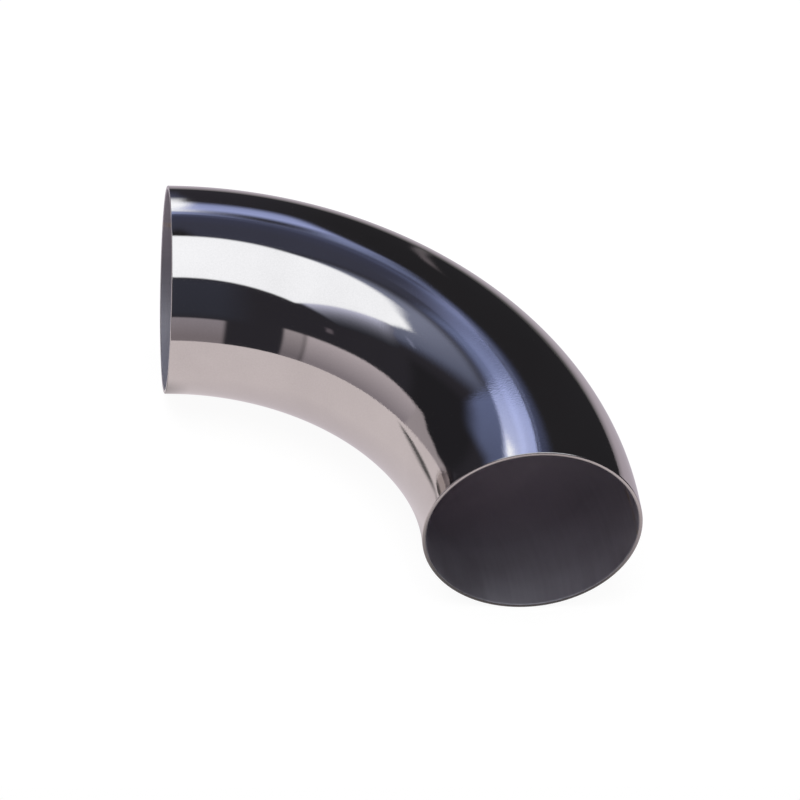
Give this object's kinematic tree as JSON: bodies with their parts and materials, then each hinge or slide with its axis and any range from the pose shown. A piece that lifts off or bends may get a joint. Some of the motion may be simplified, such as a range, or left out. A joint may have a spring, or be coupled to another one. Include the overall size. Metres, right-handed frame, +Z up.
{
  "type": "flue elbow",
  "caption": "Plain-ended 90 degree elbow of mirror-polished stainless steel tube, made of two pressed half shells joined by flush seam welds.",
  "frame": {"origin": "centre of the inlet's end face, on the axis of the tube", "axes": "+X into the inlet along the tube's axis, -Y out of the outlet, +Z up at right angles to the plane of the bend, so the elbow lies flat on its side"},
  "size_m": [0.2133, 0.2133, 0.1016],
  "materials": {
    "polished_steel": "polished",
    "weld_metal": "polished"
  },
  "bodies": {
    "root": {"upper_half_shell": "polished_steel", "lower_half_shell": "polished_steel", "outer_seam_weld": "weld_metal", "inner_seam_weld": "weld_metal"}
  },
  "joints": []
}
